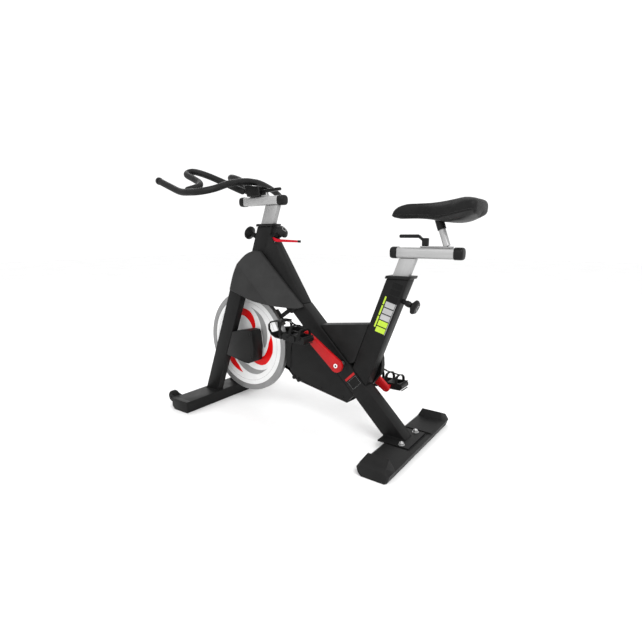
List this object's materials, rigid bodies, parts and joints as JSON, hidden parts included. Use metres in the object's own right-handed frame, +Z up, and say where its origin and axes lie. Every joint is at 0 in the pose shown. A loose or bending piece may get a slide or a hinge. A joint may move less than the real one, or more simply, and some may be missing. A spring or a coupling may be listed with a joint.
{
  "type": "indoor spin bike",
  "caption": "Indoor spin bike: welded frame on two floor beams, belt-driven flywheel, cage pedals, brake knob, and a saddle and handlebar that slide up and fore and aft.",
  "frame": {"origin": "centre of the overall bounding box, at floor level", "axes": "+X forward, from the saddle to the handlebar; +Y to the rider's left; +Z up"},
  "size_m": [1.279, 0.545, 1.0393],
  "materials": {
    "frame_paint": "satin",
    "cover_plastic": "matte",
    "black_plastic": "satin",
    "silver_tube": "satin",
    "bare_steel": "satin",
    "wheel_rim": "satin",
    "wheel_white": "satin",
    "crank_red": "gloss",
    "rubber": "matte",
    "bar_grip": "matte",
    "saddle_cover": "satin",
    "brake_felt": "matte"
  },
  "bodies": {
    "frame": {"rear_foot_beam": "frame_paint", "rear_base_plate": "frame_paint", "rear_foot_cover_left": "cover_plastic", "rear_foot_cover_right": "cover_plastic", "front_foot": "frame_paint", "lower_spine": "frame_paint", "upper_spine": "frame_paint", "head_tube": "frame_paint", "head_collar": "black_plastic", "seat_tube": "frame_paint", "seat_collar": "black_plastic", "front_leg_left": "frame_paint", "front_leg_right": "frame_paint", "fork_crown": "frame_paint", "side_panel_left": "cover_plastic", "side_panel_right": "cover_plastic", "axle_cover_left": "black_plastic", "axle_cover_right": "black_plastic", "v_cover": "cover_plastic", "left_lower_cover": "cover_plastic", "bottom_bracket_shell": "bare_steel", "crank_bearing_left": "bare_steel", "crank_bearing_right": "bare_steel", "flywheel_axle": "bare_steel", "drive_belt": "rubber", "belt_guard": "cover_plastic", "brake_bracket": "frame_paint"},
    "flywheel": {"flywheel_rim": "wheel_rim", "flywheel_disc": "wheel_white", "flywheel_hub": "bare_steel"},
    "crank": {"crank_spindle": "bare_steel", "drive_pulley": "black_plastic", "crank_arm_left": "crank_red", "crank_arm_right": "crank_red"},
    "pedal_left": {"pedal_body_left": "black_plastic", "toe_cage_left": "black_plastic"},
    "pedal_right": {"pedal_body_right": "black_plastic", "toe_cage_right": "black_plastic"},
    "handlebar_post": {"handlebar_post": "silver_tube", "handlebar_slider": "silver_tube"},
    "handlebar_carriage": {"handlebar_bracket": "black_plastic", "handlebar_main": "bar_grip", "handlebar_inner_left": "bar_grip", "handlebar_inner_right": "bar_grip"},
    "handlebar_lever": {"handlebar_lever": "black_plastic"},
    "seat_post": {"seat_post": "silver_tube", "seat_slider": "silver_tube"},
    "seat_carriage": {"seat_carriage": "silver_tube", "saddle_clamp": "black_plastic", "saddle": "saddle_cover"},
    "seat_lever": {"seat_lever": "black_plastic"},
    "seat_pin": {"seat_pin_knob": "black_plastic"},
    "head_pin": {"head_pin_knob": "black_plastic"},
    "resistance_knob": {"resistance_knob": "black_plastic"},
    "brake_pad": {"brake_carrier": "frame_paint", "brake_shoe": "brake_felt"},
    "brake_lever": {"brake_lever": "crank_red"},
    "roller_left": {"roller_left": "rubber"},
    "roller_right": {"roller_right": "rubber"}
  },
  "joints": [
    {"name": "flywheel_spin", "type": "hinge", "parent": "frame", "child": "flywheel", "pos_m": [0.362, 0, 0.29], "axis": [0, 1, 0], "continuous": true},
    {"name": "crank_spin", "type": "hinge", "parent": "frame", "child": "crank", "pos_m": [-0.1575, 0, 0.28], "axis": [0, 1, 0], "continuous": true},
    {"name": "pedal_left_spin", "type": "hinge", "parent": "crank", "child": "pedal_left", "pos_m": [-0.02084, 0.131, 0.38112], "axis": [0, 1, 0], "continuous": true},
    {"name": "pedal_right_spin", "type": "hinge", "parent": "crank", "child": "pedal_right", "pos_m": [-0.29416, -0.131, 0.17888], "axis": [0, 1, 0], "continuous": true},
    {"name": "handlebar_height", "type": "slide", "parent": "frame", "child": "handlebar_post", "axis": [-0.342, 0, 0.9397], "range_m": [-0.035, 0.1]},
    {"name": "handlebar_reach", "type": "slide", "parent": "handlebar_post", "child": "handlebar_carriage", "axis": [1, 0, 0], "range_m": [-0.06, 0.015]},
    {"name": "handlebar_lever_turn", "type": "hinge", "parent": "handlebar_carriage", "child": "handlebar_lever", "pos_m": [0.2675, 0, 0.925], "axis": [0, 0, 1], "range_deg": [-35, 35]},
    {"name": "seat_height", "type": "slide", "parent": "frame", "child": "seat_post", "axis": [-0.3551, 0, 0.9348], "range_m": [-0.04, 0.15]},
    {"name": "seat_reach", "type": "slide", "parent": "seat_post", "child": "seat_carriage", "axis": [1, 0, 0], "range_m": [0, 0.075]},
    {"name": "seat_lever_turn", "type": "hinge", "parent": "seat_carriage", "child": "seat_lever", "pos_m": [-0.4565, 0, 0.733], "axis": [0, 0, 1], "range_deg": [0, 90]},
    {"name": "seat_pin_pull", "type": "slide", "parent": "frame", "child": "seat_pin", "axis": [-0.9348, 0, -0.3551], "range_m": [0, 0.01], "stiffness_N_per_m": 700, "springref_m": -0.012},
    {"name": "head_pin_pull", "type": "slide", "parent": "frame", "child": "head_pin", "axis": [0.9397, 0, 0.342], "range_m": [0, 0.01], "stiffness_N_per_m": 700, "springref_m": -0.012},
    {"name": "resistance_turn", "type": "hinge", "parent": "frame", "child": "resistance_knob", "pos_m": [0.1923, 0, 0.748], "axis": [0.788, 0, -0.6157], "range_deg": [0, 1080]},
    {"name": "brake_pad_feed", "type": "slide", "parent": "frame", "child": "brake_pad", "axis": [0.829, 0, -0.5592], "range_m": [0, 0.0018]},
    {"name": "brake_lever_press", "type": "hinge", "parent": "frame", "child": "brake_lever", "pos_m": [0.201, 0.0165, 0.7435], "axis": [0, -1, 0], "range_deg": [0, 12], "stiffness_Nm_per_rad": 2, "springref_deg": -8.59},
    {"name": "roller_left_spin", "type": "hinge", "parent": "frame", "child": "roller_left", "pos_m": [0.6135, 0.238, 0.043], "axis": [0, 1, 0], "continuous": true},
    {"name": "roller_right_spin", "type": "hinge", "parent": "frame", "child": "roller_right", "pos_m": [0.6135, -0.238, 0.043], "axis": [0, 1, 0], "continuous": true}
  ],
  "couplings": [
    {"joint": "crank_spin", "follows": "flywheel_spin", "ratio": 0.34},
    {"joint": "brake_pad_feed", "follows": "resistance_turn", "m_per_rad": 0.000090188}
  ]
}
